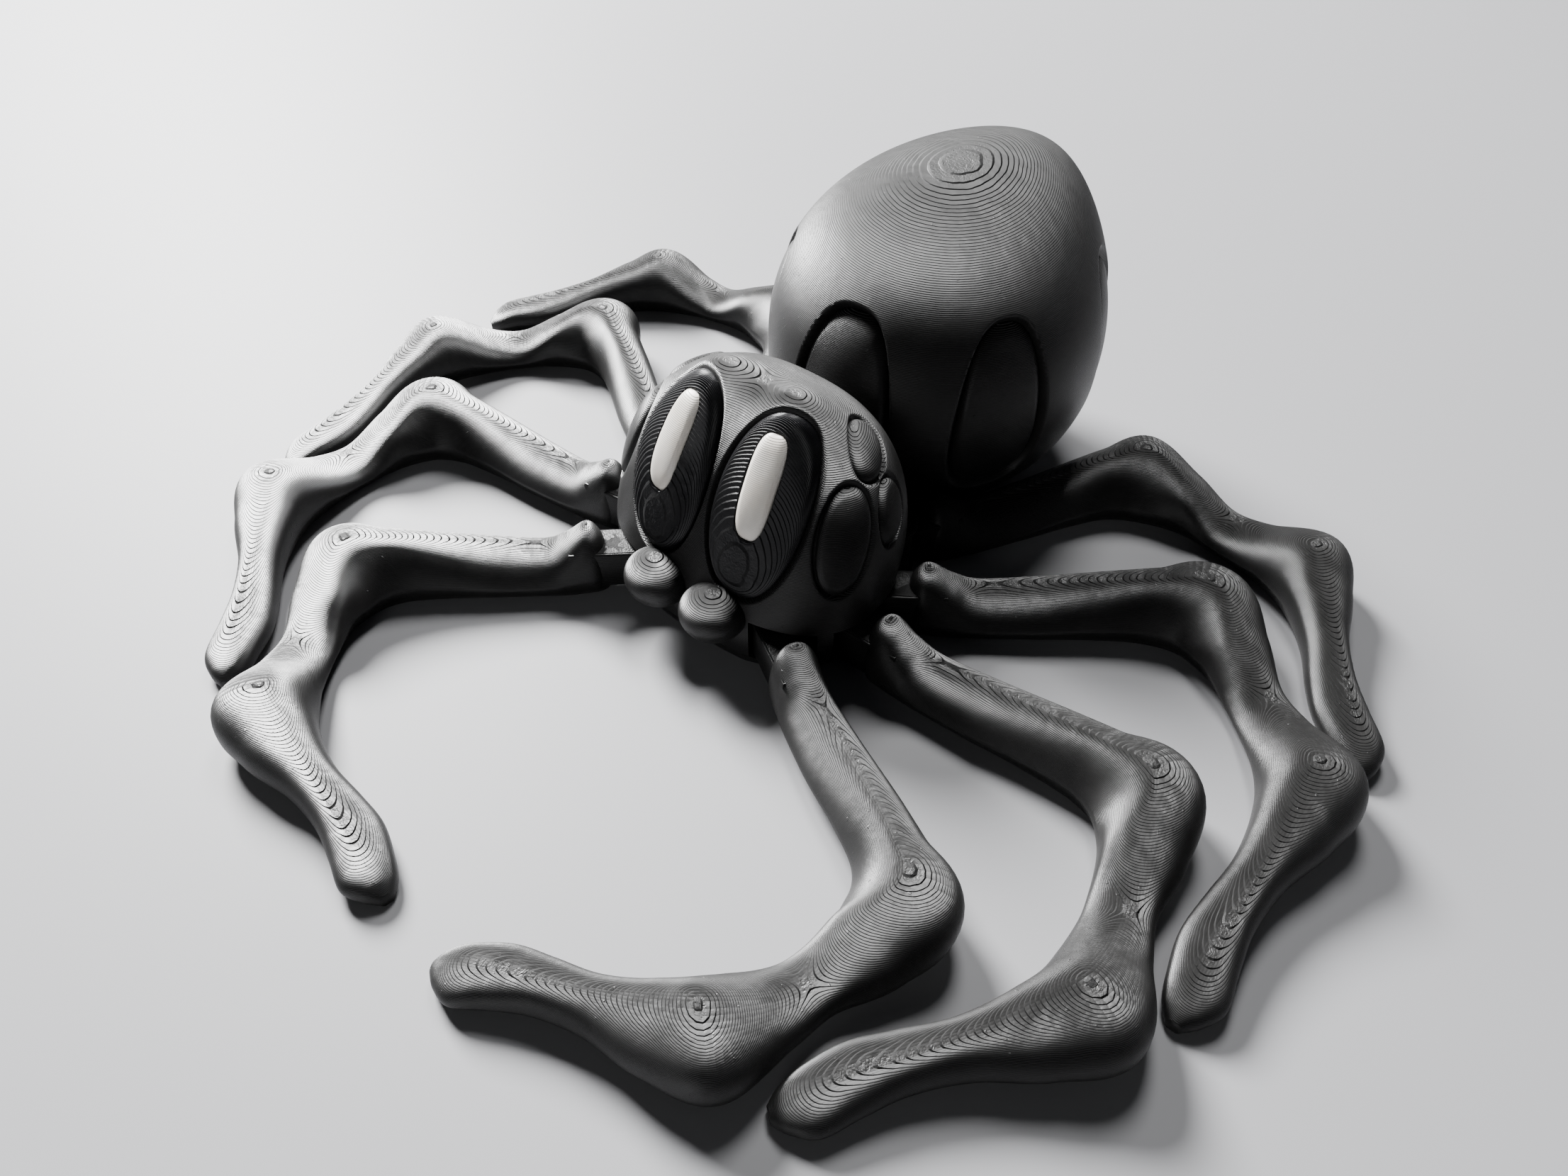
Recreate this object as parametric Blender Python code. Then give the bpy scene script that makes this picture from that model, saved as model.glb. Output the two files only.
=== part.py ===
"""Articulated eight-legged spider figure, made of printed plastic pieces.

A domed head holds eight flat-lying legs on vertical hinge pins, each leg's root tab
swinging in a slot between the head shell and the plate under it. The egg-shaped
abdomen hangs on the same kind of hinge at the back. Everything stands on z = 0.
The spider faces -Y; "left" and "right" are -X and +X.

Lengths are in millimetres until a mesh is made, and MM turns them into metres.
"""
import math

import bmesh
import bpy
from mathutils import Matrix, Vector

MM = 0.001

# ---------------------------------------------------------------- driving dimensions
GAP = 0.3                 # clearance between pieces that meet
SLAB = 100.0              # side of the big blocks that trim a shape flat

# Head: a superellipsoid about SKULL_CENTRE, leaning back, with two brow bumps.
SKULL_CENTRE = Vector((0.0, -2.1, 10.7))
SKULL_HALF_WIDTH = 21.2
SKULL_FRONT = 12.2
SKULL_BACK = 13.7
SKULL_TOP = 22.7
SKULL_BOTTOM = 18.0
SKULL_LEAN = math.radians(-18.9)
SKULL_POWER = 2.5
BROW_DIRECTION = (6.0, 0.9, 22.6)
BROW_HEIGHT = 0.09        # share of the radius
BROW_SPREAD = 0.20        # radians

# Abdomen: an egg whose long axis climbs towards the back.
EGG_CENTRE = Vector((0.0, 42.4, 22.9))
EGG_CLIMB = math.radians(33.6)
EGG_HALF_WIDTH = 24.7
EGG_HALF_HEIGHT = 26.6
EGG_HALF_LENGTH = 30.1
EGG_TAPER = -0.129        # how much narrower the rear half is
EGG_SHARPEN = -0.181      # how much both ends are drawn in

# Hips: where each pair's pin stands, and how the pair differs.
#        x      y     plan scale, first knee's turn, left yaw, right yaw, slot yaw, half swing
HIPS = {
    1: (11.65, -11.7, 0.927, 76.9, 43.4, 29.3, 36.3, 17.0),
    2: (16.4, -4.7, 1.007, 76.9, 7.6, -2.4, 2.6, 14.0),
    3: (16.4, 1.2, 1.05, 76.9, -28.9, -37.6, -33.2, 14.0),
    4: (12.3, 12.2, 1.0, 65.7, -57.3, -60.0, -58.6, 14.0),
}
BOSS_RADIUS = 4.6         # the two rear hips stand in low bosses behind the dome
BOSS_HEIGHT = 9.5

# Legs, before the pair's plan scale
ROOT_LENGTH = 8.1         # hinge pin to the knob's top
THIGH_LENGTH = 36.9       # knob to first knee
REAR_THIGH_LENGTH = 35.8  # on pair 4
SHIN_LENGTH = 26.9        # first knee to second knee
FOOT_LENGTH = 30.3        # second knee to the ball of the foot
SECOND_TURN = 51.3
TAB_WIDTH = 5.3
TAB_BOTTOM = 1.8
TAB_TOP = 8.0
SECTION_POWER = 2.15       # 2 is a half ellipse, more is squarer
TUCK = 2.0                # how far the walls draw in below the widest part
TUCK_SHARE = 0.35         # of the height, up to TUCK_HEIGHT, below the widest part
TUCK_HEIGHT = 3.0
SECTION_SIDES = 8
LEG_STATIONS = 26

# A leg's cross-sections: the bone it lies on, how far along that bone, how far the
# centre sits inside the bend, half width inside and outside the bend, height, and
# how far the ridge leans to the outside of the bend.
LEG_SECTIONS = (
    ("thigh", -0.054, 0.0, 3.0, 3.0, 9.9, 0.0),
    ("thigh", 0.010, 0.0, 3.5, 3.4, 11.3, 0.2),
    ("thigh", 0.095, 0.0, 3.7, 3.1, 9.2, 0.5),
    ("thigh", 0.190, 0.2, 3.6, 3.2, 7.5, 1.2),
    ("thigh", 0.400, 0.3, 3.5, 3.7, 7.8, 1.6),
    ("thigh", 0.620, 0.5, 2.8, 4.7, 8.8, 1.6),
    ("thigh", 0.800, 1.2, 2.4, 5.9, 10.0, 1.8),
    ("knee_1", 0.0, 3.8, 3.4, 9.0, 10.8, 2.6),
    ("shin", 0.280, 0.7, 3.6, 6.4, 8.2, 0.0),
    ("shin", 0.500, 0.0, 3.9, 3.7, 5.3, 0.5),
    ("shin", 0.690, 0.3, 4.2, 4.6, 6.0, 0.6),
    ("knee_2", 0.0, 2.5, 4.4, 7.9, 10.0, 0.6),
    ("foot", 0.220, 0.5, 4.0, 5.4, 8.6, -0.4),
    ("foot", 0.450, 0.2, 3.3, 2.9, 6.9, -0.3),
    ("foot", 0.660, 0.0, 4.0, 2.1, 5.9, -0.3),
    ("foot", 0.830, 0.0, 4.2, 2.8, 5.4, -0.4),
    ("foot", 0.980, 0.0, 3.2, 3.6, 4.7, -0.3),
    ("foot", 1.070, 0.0, 2.2, 2.4, 3.4, 0.0),
    ("foot", 1.120, 0.0, 0.9, 0.9, 1.8, 0.0),
)

# Hinge pins, the plate they stand in, and the slots that the tabs swing in
PIN_RADIUS = 0.9
PIN_BOTTOM = 0.4
PIN_TOP = 10.4
PLATE_TOP = 1.5
SLOT_RADIUS = 3.3
SLOT_TOP = 8.5
SLOT_REACH = 13.0
WAIST_Y = 4.6
WAIST_TAB_WIDTH = 7.0
WAIST_TAB_TOP = 6.5
WAIST_TAB_END_Y = 27.0
WAIST_SLOT_RADIUS = 4.1
WAIST_SWING = 12.0

# Inlays on the head: centre, direction they face (turn from the front, rise), roll of
# the long axis, half length, half width, how proud the middle stands, thickness.
INLAYS = {
    "big_eye": ((7.1, -8.0, 22.3), 12.6, 31.2, 6.6, 12.0, 6.05, 0.9, 2.6),
    "side_eye_front": ((17.6, -5.3, 20.8), 51.6, 25.5, 13.2, 6.9, 3.2, 0.3, 1.2),
    "side_eye_upper": ((14.1, 3.2, 28.5), 131.9, 39.3, 67.9, 4.1, 2.2, 0.3, 1.1),
    "side_eye_rear": ((19.1, 2.2, 21.8), 118.3, 24.0, 30.2, 4.0, 2.1, 0.3, 1.1),
}
SOCKET_MARGIN = 0.6
SOCKET_FLOOR = 0.45       # clearance under an inlay
PUPIL_RISE = 2.8          # along the eye's long axis from its centre
PUPIL_INSET = 0.4         # towards the middle of the face
PUPIL_ROLL = -3.0
PUPIL_HALF_LENGTH = 6.95
PUPIL_HALF_WIDTH = 2.3
PUPIL_CROWN = 0.55
PUPIL_DEPTH = 1.0

# Fangs: two ovoid knobs at the foot of the face
FANG_CENTRE = (5.0, -15.9, 8.4)
FANG_HALF_SIZE = (4.7, 4.4, 3.7)
FANG_TURN = math.radians(-4.0)

# Abdomen panels: long inlays round the egg, recessed in their sockets
PANELS = {                # turn from the front, half width
    "front": (2.5, 6.9),
    "right_front": (51.0, 6.0),
    "right_rear": (116.0, 6.4),
    "rear": (180.0, 6.7),
    "left_rear": (-116.0, 6.4),
    "left_front": (-51.0, 6.0),
}
PANEL_HEIGHT = 22.4
PANEL_HALF_LENGTH = 12.7
PANEL_TAPER = 0.14        # narrower at the top, wider at the foot
PANEL_RECESS = -0.6
PANEL_DEPTH = 2.0
PANEL_GROOVE = 1.0


# ---------------------------------------------------------------- scene and materials
for old in list(bpy.data.objects):
    bpy.data.objects.remove(old)

parts = bpy.data.collections.new("spider_figure")
cutters = bpy.data.collections.new("cutters")
for collection in (parts, cutters):
    bpy.context.scene.collection.children.link(collection)


def plastic(name, colour, roughness):
    material = bpy.data.materials.new(name)
    material.use_nodes = True
    shader = material.node_tree.nodes["Principled BSDF"]
    shader.inputs["Base Color"].default_value = (*colour, 1.0)
    shader.inputs["Roughness"].default_value = roughness
    shader.inputs["Metallic"].default_value = 0.0
    material.diffuse_color = (*colour, 1.0)
    return material


CHARCOAL = ((0.035, 0.034, 0.033), 0.45)
BLACK = ((0.012, 0.012, 0.013), 0.3)
IVORY = ((0.86, 0.81, 0.72), 0.3)
STEEL_GREY = ((0.10, 0.10, 0.10), 0.4)


def add(name, mesh, finish=None):
    """A part if it has a finish, or else a hidden cutter."""
    thing = bpy.data.objects.new(name, mesh)
    if finish:
        mesh.materials.append(plastic(name, *finish))
        mesh.shade_smooth()
        mesh.set_sharp_from_angle(angle=math.radians(40))
        parts.objects.link(thing)
    else:
        cutters.objects.link(thing)
        thing.hide_render = True
        thing.display_type = "WIRE"
    return thing


def finish_mesh(shape, name):
    """The bmesh in metres, with its faces turned outwards."""
    bmesh.ops.recalc_face_normals(shape, faces=shape.faces)
    bmesh.ops.scale(shape, vec=(MM, MM, MM), verts=shape.verts)
    mesh = bpy.data.meshes.new(name)
    shape.to_mesh(mesh)
    shape.free()
    return mesh


def cut(thing, tool, operation="DIFFERENCE", solver="EXACT"):
    boolean = thing.modifiers.new(tool.name, "BOOLEAN")
    boolean.operation = operation
    boolean.solver = solver
    boolean.object = tool


# ---------------------------------------------------------------- surfaces
def skull_radius(direction):
    """Distance from SKULL_CENTRE to the head's surface, along a unit vector."""
    x = direction.x
    y = math.cos(SKULL_LEAN) * direction.y + math.sin(SKULL_LEAN) * direction.z
    z = -math.sin(SKULL_LEAN) * direction.y + math.cos(SKULL_LEAN) * direction.z
    depth = SKULL_FRONT if y < 0 else SKULL_BACK
    height = SKULL_TOP if z > 0 else SKULL_BOTTOM
    total = sum(
        (abs(value) / half) ** SKULL_POWER
        for value, half in ((x, SKULL_HALF_WIDTH), (y, depth), (z, height))
    )
    radius = total ** (-1 / SKULL_POWER)
    for side in (-1, 1):
        brow = Vector((side * BROW_DIRECTION[0], *BROW_DIRECTION[1:])).normalized()
        away = direction.angle(brow, 0.0)
        radius *= 1 + BROW_HEIGHT * math.exp(-((away / BROW_SPREAD) ** 2))
    return radius


def egg_inside(point):
    """Whether a point, taken from EGG_CENTRE, lies in the egg."""
    along = math.cos(EGG_CLIMB) * point.y + math.sin(EGG_CLIMB) * point.z
    across = -math.sin(EGG_CLIMB) * point.y + math.cos(EGG_CLIMB) * point.z
    s = along / EGG_HALF_LENGTH
    if abs(s) >= 1:
        return False
    girth = math.sqrt(1 - s * s) * (1 + EGG_TAPER * s + EGG_SHARPEN * s * s)
    return (point.x / EGG_HALF_WIDTH) ** 2 + (across / EGG_HALF_HEIGHT) ** 2 < girth**2


def skull_inside(point):
    length = point.length
    return length < skull_radius(point / length) if length > 1e-9 else True


def halve(low, high, is_inside, steps=34):
    """The distance, between low (inside) and high (outside), where a surface is crossed."""
    for _ in range(steps):
        middle = (low + high) / 2
        if is_inside(middle):
            low = middle
        else:
            high = middle
    return low


def egg_radius(direction):
    return halve(0.0, 60.0, lambda distance: egg_inside(direction * distance))


def star_mesh(name, centre, radius, segments, rings):
    """A sphere pushed out to a surface given as a radius in each direction."""
    shape = bmesh.new()
    bmesh.ops.create_uvsphere(shape, u_segments=segments, v_segments=rings, radius=1.0)
    for vertex in shape.verts:
        direction = vertex.co.normalized()
        vertex.co = centre + direction * radius(direction)
    return finish_mesh(shape, name)


# ---------------------------------------------------------------- simple solids
def block(name, low, high, finish=None):
    shape = bmesh.new()
    bmesh.ops.create_cube(shape, size=1.0)
    size = [b - a for a, b in zip(low, high)]
    middle = [(a + b) / 2 for a, b in zip(low, high)]
    bmesh.ops.scale(shape, vec=size, verts=shape.verts)
    bmesh.ops.translate(shape, vec=middle, verts=shape.verts)
    return add(name, finish_mesh(shape, name), finish)


def cylinder(name, x, y, bottom, top, radius, finish=None, sides=12):
    shape = bmesh.new()
    bmesh.ops.create_cone(
        shape, cap_ends=True, segments=sides, radius1=radius, radius2=radius, depth=top - bottom
    )
    bmesh.ops.translate(shape, vec=(x, y, (top + bottom) / 2), verts=shape.verts)
    return add(name, finish_mesh(shape, name), finish)


def loft(name, rings):
    """A closed skin through rings of equally many points, with flat ends."""
    shape = bmesh.new()
    rows = [[shape.verts.new(point) for point in ring] for ring in rings]
    count = len(rows[0])
    for here, there in zip(rows, rows[1:]):
        for i in range(count):
            j = (i + 1) % count
            shape.faces.new((here[i], here[j], there[j], there[i]))
    shape.faces.new(reversed(rows[0]))
    shape.faces.new(rows[-1])
    return finish_mesh(shape, name)


def keyhole(name, bottom, top, radius, reach, half_swing, heading):
    """A slot that is round about the pin and opens outwards by the swing each way."""
    outline = []
    for i in range(9):
        angle = math.radians(90 + 180 * i / 8)
        outline.append((radius * math.cos(angle), radius * math.sin(angle)))
    spread = radius + reach * math.tan(math.radians(half_swing))
    outline += [(reach, -spread), (reach, spread)]
    turn = Matrix.Rotation(heading, 2)
    plan = [turn @ Vector(point) for point in outline]
    mesh = loft(name, [[(p.x, p.y, z) for p in plan] for z in (bottom, top)])
    return add(name, mesh)


# ---------------------------------------------------------------- inlays
def facing(turn, rise, roll):
    """Outward normal, long axis and short axis of an inlay that faces turn and rise."""
    turn, rise, roll = (math.radians(angle) for angle in (turn, rise, roll))
    normal = Vector(
        (math.cos(rise) * math.sin(turn), -math.cos(rise) * math.cos(turn), math.sin(rise))
    )
    east = Vector((math.cos(turn), math.sin(turn), 0.0))
    north = east.cross(normal) * -1
    long_axis = math.cos(roll) * north + math.sin(roll) * east
    return normal, long_axis, long_axis.cross(normal) * -1


def surface_height(point, normal, centre, is_inside):
    """How far along the normal from a point the body's surface lies."""
    start = point - centre
    return halve(-8.0, 25.0, lambda distance: is_inside(start + normal * distance))


def inlay(name, body, place, frame, half_length, half_width, crown, top, bottom, finish,
          power=2.2, sides=18, rings=3, taper=0.0):
    """A thin oval plate that follows a body's surface.

    Its upper face stands at top above that surface, and crown more in the middle. Its
    lower face lies at bottom above the surface, which is below it where negative.
    """
    centre, is_inside = body
    normal, long_axis, short_axis = frame
    share = [ring / rings for ring in range(rings, 0, -1)]
    layers = []
    for level, swell, spots in ((bottom, 0.0, (0.2, 1.0)), (top, crown, share)):
        for spot in spots:
            ring = []
            for i in range(sides):
                angle = 2 * math.pi * i / sides
                along = math.copysign(abs(math.cos(angle)) ** (2 / power), math.cos(angle))
                across = math.copysign(abs(math.sin(angle)) ** (2 / power), math.sin(angle))
                point = place + long_axis * (along * half_length * spot)
                across *= 1 - taper * along
                point += short_axis * (across * half_width * spot)
                height = surface_height(point, normal, centre, is_inside)
                rounded = swell * math.sqrt(max(0.0, 1 - spot * spot))
                ring.append(point + normal * (height + level + rounded))
            layers.append(ring)
    return add(name, loft(name, layers), finish)


SKULL = (SKULL_CENTRE, skull_inside)
EGG = (EGG_CENTRE, egg_inside)


# ---------------------------------------------------------------- legs
def leg_bones(scale, first_turn):
    """Start, direction and length of each bone, the hinge pin at the origin."""
    thigh = REAR_THIGH_LENGTH if first_turn == HIPS[4][3] else THIGH_LENGTH
    bones = {}
    start = Vector((ROOT_LENGTH * scale, 0.0))
    heading = 0.0
    for name, length, turn in (
        ("thigh", thigh, first_turn),
        ("shin", SHIN_LENGTH, SECOND_TURN),
        ("foot", FOOT_LENGTH, 0.0),
    ):
        direction = Vector((math.cos(math.radians(heading)), math.sin(math.radians(heading))))
        bones[name] = (start, direction, length * scale)
        start = start + direction * length * scale
        heading += turn
    return bones


def leg_path(scale, first_turn):
    """The section centres, with each section's widths, height and ridge lean."""
    bones = leg_bones(scale, first_turn)
    bends = {"knee_1": ("thigh", "shin"), "knee_2": ("shin", "foot")}
    keys = []
    for bone, along, inset, inner, outer, height, lean in LEG_SECTIONS:
        if bone in bends:
            before, after = (bones[name] for name in bends[bone])
            centre = after[0]
            direction = (before[1] + after[1]).normalized()
        else:
            start, direction, length = bones[bone]
            centre = start + direction * along * length
        inwards = Vector((-direction.y, direction.x))
        centre = centre + inwards * inset
        keys.append((centre.x, centre.y, inner, outer, height, lean))
    return keys


def smooth_row(keys, t):
    """A point of the smooth curve through the keys, with t counting keys."""
    last = len(keys) - 1
    i = min(int(t), last - 1)
    f = t - i
    rows = [keys[min(max(i + k, 0), last)] for k in (-1, 0, 1, 2)]
    return [
        0.5 * (2 * b + (c - a) * f + (2 * a - 5 * b + 4 * c - d) * f * f
               + (3 * b - a - 3 * c + d) * f**3)
        for a, b, c, d in zip(*rows)
    ]


def leg_rings(scale, first_turn, side, stations, sides):
    """Rings of the leg's skin, with the bend towards the spider's front."""
    keys = leg_path(scale, first_turn)
    last = len(keys) - 1
    rings = []
    for station in range(stations + 1):
        t = last * station / stations
        x, y, inner, outer, height, lean = smooth_row(keys, t)
        before, after = (smooth_row(keys, min(max(t + d, 0), last)) for d in (-0.05, 0.05))
        along = Vector((after[0] - before[0], after[1] - before[1])).normalized()
        widest = min(TUCK_SHARE * height, TUCK_HEIGHT)
        tuck = min(TUCK, 0.45 * inner, 0.45 * outer)
        profile = [(inner - tuck, 0.0)]
        for i in range(sides + 1):
            angle = math.pi * i / sides
            cosine = math.copysign(abs(math.cos(angle)) ** (2 / SECTION_POWER), math.cos(angle))
            sine = max(0.0, math.sin(angle)) ** (2 / SECTION_POWER)
            across = cosine * (inner if cosine > 0 else outer) - lean * sine
            profile.append((across, widest + (height - widest) * sine))
        profile.append((tuck - outer, 0.0))
        ring = [(x - along.y * across, -side * (y + along.x * across), z) for across, z in profile]
        rings.append(ring)
    return rings


def leg(side, number):
    """A leg with its hinge tab, its origin on the hinge pin's axis."""
    hip_x, hip_y, scale, turn, left_yaw, right_yaw, _, _ = HIPS[number]
    label = "right" if side > 0 else "left"
    yaw = math.radians(-right_yaw if side > 0 else 180 + left_yaw)
    name = f"leg_{label}_{number}"
    skin = loft(name, leg_rings(scale, turn, side, LEG_STATIONS, SECTION_SIDES))
    body = add(name, skin, CHARCOAL)
    tab_end = ROOT_LENGTH * scale + 3.0
    half = TAB_WIDTH / 2
    outline = [(tab_end, -half), (tab_end, half)]
    for i in range(9):
        angle = math.radians(90 + 180 * i / 8)
        outline.append((half * math.cos(angle), half * math.sin(angle)))
    levels = (TAB_BOTTOM, TAB_TOP)
    tab = add(name + "_tab", loft(name + "_tab", [[(*p, z) for p in outline] for z in levels]))
    bore = cylinder(name + "_bore", 0, 0, 0, TAB_TOP + 2, PIN_RADIUS + GAP)
    place = Matrix.Translation(Vector((side * hip_x, hip_y, 0)) * MM) @ Matrix.Rotation(yaw, 4, "Z")
    for thing in (body, tab, bore):
        thing.matrix_world = place
    cut(body, tab, "UNION")
    cut(body, bore)
    cylinder(f"hip_pin_{label}_{number}", side * hip_x, hip_y, PIN_BOTTOM, PIN_TOP, PIN_RADIUS,
             STEEL_GREY)
    return body


# ---------------------------------------------------------------- head
def head():
    shell = add("head_shell", star_mesh("head_shell", SKULL_CENTRE, skull_radius, 30, 20), CHARCOAL)
    plate = add("sternum_plate", star_mesh("plate", SKULL_CENTRE, skull_radius, 30, 20), CHARCOAL)
    for side in (-1, 1):
        boss = keyhole(f"boss_{side}", -2, BOSS_HEIGHT, BOSS_RADIUS, 12, 0,
                       math.radians(-90 - side * 20))
        boss.location = Vector((side * HIPS[4][0], HIPS[4][1], 0)) * MM
        cut(shell, boss, "UNION")
        cut(plate, boss, "UNION", "MANIFOLD")
    below = block("below_shell", (-SLAB, -SLAB, -SLAB), (SLAB, SLAB, PLATE_TOP + GAP))
    cut(shell, below)
    for name, low, high in (("above_plate", PLATE_TOP, SLAB), ("below_plate", -SLAB, 0)):
        cut(plate, block(name, (-SLAB, -SLAB, low), (SLAB, SLAB, high)), solver="MANIFOLD")
    for side in (-1, 1):
        for number, (x, y, _, _, _, _, slot_yaw, swing) in HIPS.items():
            heading = math.radians(-slot_yaw if side > 0 else 180 + slot_yaw)
            slot = keyhole(f"slot_{side}_{number}", 0, SLOT_TOP + 0.1 * number, SLOT_RADIUS, SLOT_REACH, swing, heading)
            slot.location = Vector((side * x, y, 0)) * MM
            hole = cylinder(f"pin_hole_{side}_{number}", side * x, y, -1, PIN_TOP + GAP,
                            PIN_RADIUS + GAP)
            cut(shell, slot)
            cut(shell, hole)
            cut(plate, hole, solver="MANIFOLD")
    waist_slot = keyhole("waist_slot", 0, WAIST_TAB_TOP + 0.5, WAIST_SLOT_RADIUS, 16, WAIST_SWING,
                         math.radians(90))
    waist_slot.location = Vector((0, WAIST_Y, 0)) * MM
    waist_hole = cylinder("waist_pin_hole", 0, WAIST_Y, -1, PIN_TOP + GAP, PIN_RADIUS + GAP)
    cut(shell, waist_slot)
    cut(shell, waist_hole)
    cut(plate, waist_hole, solver="MANIFOLD")
    cylinder("waist_pin", 0, WAIST_Y, PIN_BOTTOM, PIN_TOP, PIN_RADIUS, STEEL_GREY)
    return shell, plate


def mirrored(place, side):
    return Vector((side * place[0], place[1], place[2]))


def head_inlays(shell):
    """Eyes on both sides, each in its own socket."""
    for label, side in (("left", -1), ("right", 1)):
        for kind, (place, turn, rise, roll, length, width, crown, depth) in INLAYS.items():
            spot = mirrored(place, side)
            frame = facing(side * turn, rise, side * roll)
            name = f"{kind}_{label}"
            finish = BLACK if kind == "big_eye" else CHARCOAL
            fine = {"sides": 20, "rings": 3} if kind == "big_eye" else {"sides": 14, "rings": 2}
            plate = inlay(name, SKULL, spot, frame, length, width, crown, 0.3, -depth, finish,
                          **fine)
            socket = inlay(name + "_socket", SKULL, spot, frame, length + SOCKET_MARGIN,
                           width + SOCKET_MARGIN, 0.0, 3.0, -depth - SOCKET_FLOOR, None, **fine)
            cut(shell, socket)
            if kind == "big_eye":
                middle = spot + frame[1] * PUPIL_RISE
                middle.x -= side * PUPIL_INSET
                frame = facing(side * turn, rise, side * (roll + PUPIL_ROLL))
                size = (PUPIL_HALF_LENGTH, PUPIL_HALF_WIDTH)
                inlay(f"pupil_{label}", SKULL, middle, frame, *size, PUPIL_CROWN, 0.9,
                      -PUPIL_DEPTH + SOCKET_FLOOR, IVORY, power=2.8)
                well = inlay(f"pupil_well_{label}", SKULL, middle, frame, size[0] + 0.4,
                             size[1] + 0.4, 0.0, 4.0, -PUPIL_DEPTH, None, power=2.8)
                cut(plate, well)


def fangs(shell, plate):
    for label, side in (("left", -1), ("right", 1)):
        for name, grow, finish in ((f"fang_{label}", 0.0, CHARCOAL), (f"fang_hole_{label}", 0.4, None)):
            shape = bmesh.new()
            bmesh.ops.create_uvsphere(shape, u_segments=14, v_segments=8, radius=1.0)
            size = [half + grow for half in FANG_HALF_SIZE]
            bmesh.ops.scale(shape, vec=size, verts=shape.verts)
            bmesh.ops.rotate(shape, verts=shape.verts, matrix=Matrix.Rotation(side * FANG_TURN, 3, "Y"))
            bmesh.ops.translate(shape, verts=shape.verts, vec=mirrored(FANG_CENTRE, side))
            thing = add(name, finish_mesh(shape, name), finish)
        cut(shell, thing)
        cut(plate, thing, solver="MANIFOLD")


# ---------------------------------------------------------------- abdomen
def abdomen():
    """The egg with its foot, its hinge tab and its six panels."""
    shell = add("abdomen_shell", star_mesh("abdomen", EGG_CENTRE, egg_radius, 28, 18), CHARCOAL)
    half = WAIST_TAB_WIDTH / 2
    outline = [(half, WAIST_TAB_END_Y), (-half, WAIST_TAB_END_Y)]
    for i in range(9):
        angle = math.radians(180 + 180 * i / 8)
        outline.append((half * math.cos(angle), WAIST_Y + half * math.sin(angle)))
    levels = (TAB_BOTTOM, WAIST_TAB_TOP)
    tab = add("waist_tab", loft("waist_tab", [[(*p, z) for p in outline] for z in levels]))
    bore = cylinder("waist_bore", 0, WAIST_Y, 0, WAIST_TAB_TOP + 2, PIN_RADIUS + GAP)
    cut(shell, tab, "UNION")
    cut(shell, bore)
    cut(shell, block("below_abdomen", (-SLAB, -SLAB, -SLAB), (SLAB, SLAB, 0)))
    for label, (turn, half_width) in PANELS.items():
        normal, long_axis, short_axis = frame = facing(turn, 0.0, 0.0)
        place = EGG_CENTRE + normal * 8.0
        place.z = PANEL_HEIGHT
        name = f"abdomen_panel_{label}"
        inlay(name, EGG, place, frame, PANEL_HALF_LENGTH, half_width, 0.4, PANEL_RECESS,
              -PANEL_DEPTH, CHARCOAL, power=2.6, rings=2, taper=PANEL_TAPER)
        socket = inlay(name + "_socket", EGG, place, frame, PANEL_HALF_LENGTH + PANEL_GROOVE,
                       half_width + PANEL_GROOVE, 0.0, 3.0, -PANEL_DEPTH - SOCKET_FLOOR, None,
                       power=2.6, rings=2, taper=PANEL_TAPER)
        cut(shell, socket)


for leg_side in (-1, 1):
    for leg_number in HIPS:
        leg(leg_side, leg_number)
head_body, chest_plate = head()
head_inlays(head_body)
fangs(head_body, chest_plate)
abdomen()
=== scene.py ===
"""Looks of the printed spider figure: fine skins, inlays and plastic round the CAD frame.

Lengths in this file are millimetres until a mesh is made; MM turns them into metres.
The spider faces -Y; "left" and "right" are -X and +X.
"""
import math

import bmesh
import bpy
import numpy as np
from mathutils import Matrix, Vector


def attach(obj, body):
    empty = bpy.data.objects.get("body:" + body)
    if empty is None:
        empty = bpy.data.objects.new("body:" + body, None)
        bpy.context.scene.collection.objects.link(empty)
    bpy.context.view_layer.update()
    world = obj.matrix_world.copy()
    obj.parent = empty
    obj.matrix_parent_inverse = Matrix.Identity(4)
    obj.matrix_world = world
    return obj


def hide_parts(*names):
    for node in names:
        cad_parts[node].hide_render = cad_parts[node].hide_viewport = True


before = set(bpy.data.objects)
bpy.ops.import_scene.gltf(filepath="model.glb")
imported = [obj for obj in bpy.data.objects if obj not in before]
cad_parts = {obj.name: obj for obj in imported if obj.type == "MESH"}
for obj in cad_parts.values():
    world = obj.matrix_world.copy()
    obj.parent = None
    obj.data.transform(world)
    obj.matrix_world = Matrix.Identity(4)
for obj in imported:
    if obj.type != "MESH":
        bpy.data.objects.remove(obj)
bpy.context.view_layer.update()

MM = 0.001
LAYER = 0.2               # printed layer height

# ---------------------------------------------------------------- the CAD's dimensions
SKULL_CENTRE = np.array((0.0, -2.1, 10.7))
SKULL_HALF_WIDTH = 21.2
SKULL_FRONT = 12.2
SKULL_BACK = 13.7
SKULL_TOP = 22.7
SKULL_BOTTOM = 18.0
SKULL_LEAN = math.radians(-18.9)
SKULL_POWER = 2.5
BROW_DIRECTION = (6.0, 0.9, 22.6)
BROW_HEIGHT = 0.09
BROW_SPREAD = 0.20
EGG_CENTRE = np.array((0.0, 42.4, 22.9))
EGG_CLIMB = math.radians(33.6)
EGG_HALF_WIDTH = 24.7
EGG_HALF_HEIGHT = 26.6
EGG_HALF_LENGTH = 30.1
EGG_TAPER = -0.129
EGG_SHARPEN = -0.181

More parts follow.
